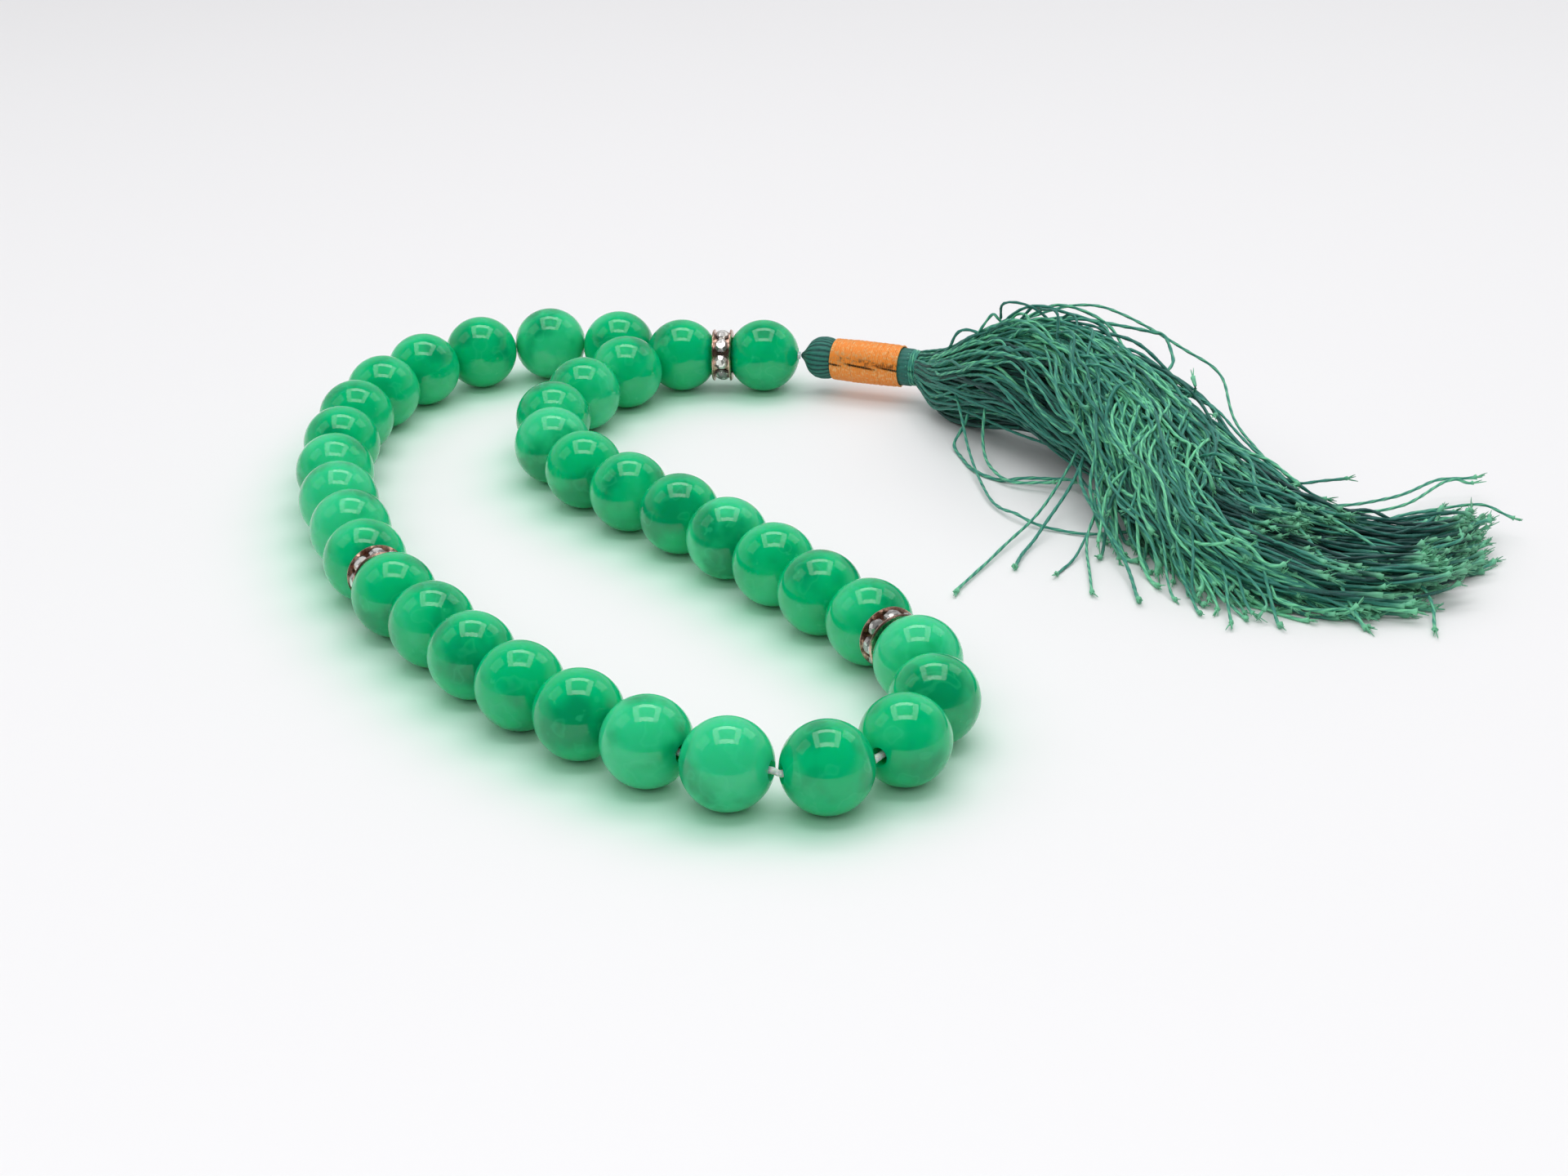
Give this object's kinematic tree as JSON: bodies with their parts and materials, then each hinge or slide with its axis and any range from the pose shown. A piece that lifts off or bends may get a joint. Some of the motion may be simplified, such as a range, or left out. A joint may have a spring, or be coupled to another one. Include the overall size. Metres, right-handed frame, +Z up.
{
  "type": "misbaha prayer beads",
  "caption": "Loop of round green stone prayer beads on a string, with stone-set spacer rings, a neck bead and leader bead, and a long dark green thread tassel bound with gold thread.",
  "frame": {"origin": "middle of the footprint of the whole object as it lies, on the surface it lies on", "axes": "+Z up from the surface; +X along the long side of its footprint, from the bead loop towards the tassel; +Y towards the neck of the loop"},
  "size_m": [0.1528, 0.1459, 0.0164],
  "materials": {
    "polished_stone": "polished, translucent",
    "rose_metal": "polished",
    "clear_stone": "faceted, clear",
    "clear_cord": "smooth, translucent",
    "metallic_thread": "shiny wound thread",
    "green_thread": "twisted thread, soft sheen"
  },
  "bodies": {
    "string": {"string": "rose_metal"},
    "leader_bead": {"leader_bead": "polished_stone"},
    "neck_bead": {"neck_bead": "polished_stone"},
    "bead_01": {"bead_01": "polished_stone"},
    "bead_02": {"bead_02": "polished_stone"},
    "bead_03": {"bead_03": "polished_stone"},
    "bead_04": {"bead_04": "polished_stone"},
    "bead_05": {"bead_05": "polished_stone"},
    "bead_06": {"bead_06": "polished_stone"},
    "bead_07": {"bead_07": "polished_stone"},
    "bead_08": {"bead_08": "polished_stone"},
    "bead_09": {"bead_09": "polished_stone"},
    "bead_10": {"bead_10": "polished_stone"},
    "bead_11": {"bead_11": "polished_stone"},
    "bead_12": {"bead_12": "polished_stone"},
    "bead_13": {"bead_13": "polished_stone"},
    "bead_14": {"bead_14": "polished_stone"},
    "bead_15": {"bead_15": "polished_stone"},
    "bead_16": {"bead_16": "polished_stone"},
    "bead_17": {"bead_17": "polished_stone"},
    "bead_18": {"bead_18": "polished_stone"},
    "bead_19": {"bead_19": "polished_stone"},
    "bead_20": {"bead_20": "polished_stone"},
    "bead_21": {"bead_21": "polished_stone"},
    "bead_22": {"bead_22": "polished_stone"},
    "bead_23": {"bead_23": "polished_stone"},
    "bead_24": {"bead_24": "polished_stone"},
    "bead_25": {"bead_25": "polished_stone"},
    "bead_26": {"bead_26": "polished_stone"},
    "bead_27": {"bead_27": "polished_stone"},
    "bead_28": {"bead_28": "polished_stone"},
    "bead_29": {"bead_29": "polished_stone"},
    "bead_30": {"bead_30": "polished_stone"},
    "bead_31": {"bead_31": "polished_stone"},
    "bead_32": {"bead_32": "polished_stone"},
    "bead_33": {"bead_33": "polished_stone"},
    "spacer_1": {"spacer_1_ring": "rose_metal", "spacer_1_stones": "clear_stone"},
    "spacer_2": {"spacer_2_ring": "rose_metal", "spacer_2_stones": "clear_stone"},
    "spacer_3": {"spacer_3_ring": "rose_metal", "spacer_3_stones": "clear_stone"},
    "tassel_knot": {"tassel_knot": "green_thread"},
    "tassel_head": {"tassel_core": "green_thread", "thread_bulb": "green_thread", "gold_wrap": "metallic_thread", "thread_collar": "green_thread"},
    "skirt_upper": {"skirt_upper": "green_thread"},
    "skirt_lower": {"skirt_lower": "green_thread"}
  },
  "joints": [
    {"name": "tassel_swing", "type": "hinge", "parent": "string", "child": "tassel_knot", "pos_m": [-0.00997, 0.05979, 0.005], "axis": [0, 0, 1], "range_deg": [-8, 40]},
    {"name": "tassel_lift", "type": "hinge", "parent": "tassel_knot", "child": "tassel_head", "pos_m": [-0.00997, 0.05979, 0.005], "axis": [-0.3886, -0.9214, 0], "range_deg": [0, 50]},
    {"name": "skirt_bend", "type": "hinge", "parent": "tassel_head", "child": "skirt_upper", "pos_m": [0.00588, 0.05311, 0.005], "axis": [0, 0, 1], "range_deg": [-10, 25]},
    {"name": "skirt_curl", "type": "hinge", "parent": "skirt_upper", "child": "skirt_lower", "pos_m": [0.03565, 0.0113, 0.005], "axis": [0, 0, 1], "range_deg": [-20, 20]},
    {"name": "spacer_1_spin", "type": "hinge", "parent": "string", "child": "spacer_1", "pos_m": [-0.0216, 0.0608, 0.005], "axis": [-0.9962, 0.0866, 0], "continuous": true},
    {"name": "spacer_2_spin", "type": "hinge", "parent": "string", "child": "spacer_2", "pos_m": [-0.00178, -0.03745, 0.005], "axis": [0.4255, -0.905, 0], "continuous": true},
    {"name": "spacer_3_spin", "type": "hinge", "parent": "string", "child": "spacer_3", "pos_m": [-0.06138, -0.01589, 0.005], "axis": [-0.3988, 0.917, 0], "continuous": true},
    {"name": "leader_bead_spin", "type": "hinge", "parent": "string", "child": "leader_bead", "pos_m": [-0.01585, 0.0603, 0.005], "axis": [-0.9962, 0.0866, 0], "continuous": true},
    {"name": "neck_bead_spin", "type": "hinge", "parent": "string", "child": "neck_bead", "pos_m": [-0.02735, 0.0613, 0.005], "axis": [-0.9962, 0.0866, 0], "continuous": true},
    {"name": "bead_01_spin", "type": "hinge", "parent": "string", "child": "bead_01", "pos_m": [-0.03501, 0.05469, 0.005], "axis": [-0.4043, -0.9146, 0], "continuous": true},
    {"name": "bead_02_spin", "type": "hinge", "parent": "string", "child": "bead_02", "pos_m": [-0.04047, 0.04616, 0.005], "axis": [-0.449, -0.8935, 0], "continuous": true},
    {"name": "bead_03_spin", "type": "hinge", "parent": "string", "child": "bead_03", "pos_m": [-0.04405, 0.0367, 0.005], "axis": [-0.1542, -0.988, 0], "continuous": true},
    {"name": "bead_04_spin", "type": "hinge", "parent": "string", "child": "bead_04", "pos_m": [-0.04352, 0.0266, 0.005], "axis": [0.2568, -0.9665, 0], "continuous": true},
    {"name": "bead_05_spin", "type": "hinge", "parent": "string", "child": "bead_05", "pos_m": [-0.03897, 0.01756, 0.005], "axis": [0.5257, -0.8507, 0], "continuous": true},
    {"name": "bead_06_spin", "type": "hinge", "parent": "string", "child": "bead_06", "pos_m": [-0.03292, 0.00945, 0.005], "axis": [0.6201, -0.7845, 0], "continuous": true},
    {"name": "bead_07_spin", "type": "hinge", "parent": "string", "child": "bead_07", "pos_m": [-0.02642, 0.00169, 0.005], "axis": [0.6145, -0.7889, 0], "continuous": true},
    {"name": "bead_08_spin", "type": "hinge", "parent": "string", "child": "bead_08", "pos_m": [-0.02049, -0.00651, 0.005], "axis": [0.5692, -0.8222, 0], "continuous": true},
    {"name": "bead_09_spin", "type": "hinge", "parent": "string", "child": "bead_09", "pos_m": [-0.0149, -0.01495, 0.005], "axis": [0.5366, -0.8438, 0], "continuous": true},
    {"name": "bead_10_spin", "type": "hinge", "parent": "string", "child": "bead_10", "pos_m": [-0.00963, -0.02359, 0.005], "axis": [0.5255, -0.8508, 0], "continuous": true},
    {"name": "bead_11_spin", "type": "hinge", "parent": "string", "child": "bead_11", "pos_m": [-0.00427, -0.03217, 0.005], "axis": [0.4784, -0.8781, 0], "continuous": true},
    {"name": "bead_12_spin", "type": "hinge", "parent": "string", "child": "bead_12", "pos_m": [0.0007, -0.04273, 0.005], "axis": [0.2787, -0.9604, 0], "continuous": true},
    {"name": "bead_13_spin", "type": "hinge", "parent": "string", "child": "bead_13", "pos_m": [0.00196, -0.05277, 0.005], "axis": [-0.1175, -0.9931, 0], "continuous": true},
    {"name": "bead_14_spin", "type": "hinge", "parent": "string", "child": "bead_14", "pos_m": [-0.00161, -0.06224, 0.005], "axis": [-0.6092, -0.793, 0], "continuous": true},
    {"name": "bead_15_spin", "type": "hinge", "parent": "string", "child": "bead_15", "pos_m": [-0.00984, -0.06813, 0.005], "axis": [-0.9698, -0.244, 0], "continuous": true},
    {"name": "bead_16_spin", "type": "hinge", "parent": "string", "child": "bead_16", "pos_m": [-0.02007, -0.06681, 0.005], "axis": [-0.9361, 0.3517, 0], "continuous": true},
    {"name": "bead_17_spin", "type": "hinge", "parent": "string", "child": "bead_17", "pos_m": [-0.02848, -0.06118, 0.005], "axis": [-0.7839, 0.6209, 0], "continuous": true},
    {"name": "bead_18_spin", "type": "hinge", "parent": "string", "child": "bead_18", "pos_m": [-0.03589, -0.05428, 0.005], "axis": [-0.7022, 0.712, 0], "continuous": true},
    {"name": "bead_19_spin", "type": "hinge", "parent": "string", "child": "bead_19", "pos_m": [-0.04268, -0.04678, 0.005], "axis": [-0.6288, 0.7775, 0], "continuous": true},
    {"name": "bead_20_spin", "type": "hinge", "parent": "string", "child": "bead_20", "pos_m": [-0.04859, -0.03857, 0.005], "axis": [-0.5514, 0.8342, 0], "continuous": true},
    {"name": "bead_21_spin", "type": "hinge", "parent": "string", "child": "bead_21", "pos_m": [-0.05383, -0.02991, 0.005], "axis": [-0.5167, 0.8562, 0], "continuous": true},
    {"name": "bead_22_spin", "type": "hinge", "parent": "string", "child": "bead_22", "pos_m": [-0.05905, -0.02124, 0.005], "axis": [-0.4583, 0.8888, 0], "continuous": true},
    {"name": "bead_23_spin", "type": "hinge", "parent": "string", "child": "bead_23", "pos_m": [-0.06371, -0.01054, 0.005], "axis": [-0.3429, 0.9394, 0], "continuous": true},
    {"name": "bead_24_spin", "type": "hinge", "parent": "string", "child": "bead_24", "pos_m": [-0.0666, -0.00084, 0.005], "axis": [-0.2742, 0.9617, 0], "continuous": true},
    {"name": "bead_25_spin", "type": "hinge", "parent": "string", "child": "bead_25", "pos_m": [-0.06926, 0.00892, 0.005], "axis": [-0.2162, 0.9763, 0], "continuous": true},
    {"name": "bead_26_spin", "type": "hinge", "parent": "string", "child": "bead_26", "pos_m": [-0.07097, 0.0189, 0.005], "axis": [-0.1041, 0.9946, 0], "continuous": true},
    {"name": "bead_27_spin", "type": "hinge", "parent": "string", "child": "bead_27", "pos_m": [-0.07136, 0.02901, 0.005], "axis": [0.0164, 0.9999, 0], "continuous": true},
    {"name": "bead_28_spin", "type": "hinge", "parent": "string", "child": "bead_28", "pos_m": [-0.07064, 0.0391, 0.005], "axis": [0.16, 0.9871, 0], "continuous": true},
    {"name": "bead_29_spin", "type": "hinge", "parent": "string", "child": "bead_29", "pos_m": [-0.06813, 0.04891, 0.005], "axis": [0.3566, 0.9342, 0], "continuous": true},
    {"name": "bead_30_spin", "type": "hinge", "parent": "string", "child": "bead_30", "pos_m": [-0.06347, 0.05789, 0.005], "axis": [0.6107, 0.7919, 0], "continuous": true},
    {"name": "bead_31_spin", "type": "hinge", "parent": "string", "child": "bead_31", "pos_m": [-0.05597, 0.06468, 0.005], "axis": [0.8661, 0.4999, 0], "continuous": true},
    {"name": "bead_32_spin", "type": "hinge", "parent": "string", "child": "bead_32", "pos_m": [-0.04633, 0.06778, 0.005], "axis": [0.9987, 0.0508, 0], "continuous": true},
    {"name": "bead_33_spin", "type": "hinge", "parent": "string", "child": "bead_33", "pos_m": [-0.03643, 0.06568, 0.005], "axis": [0.8089, -0.588, 0], "continuous": true}
  ]
}
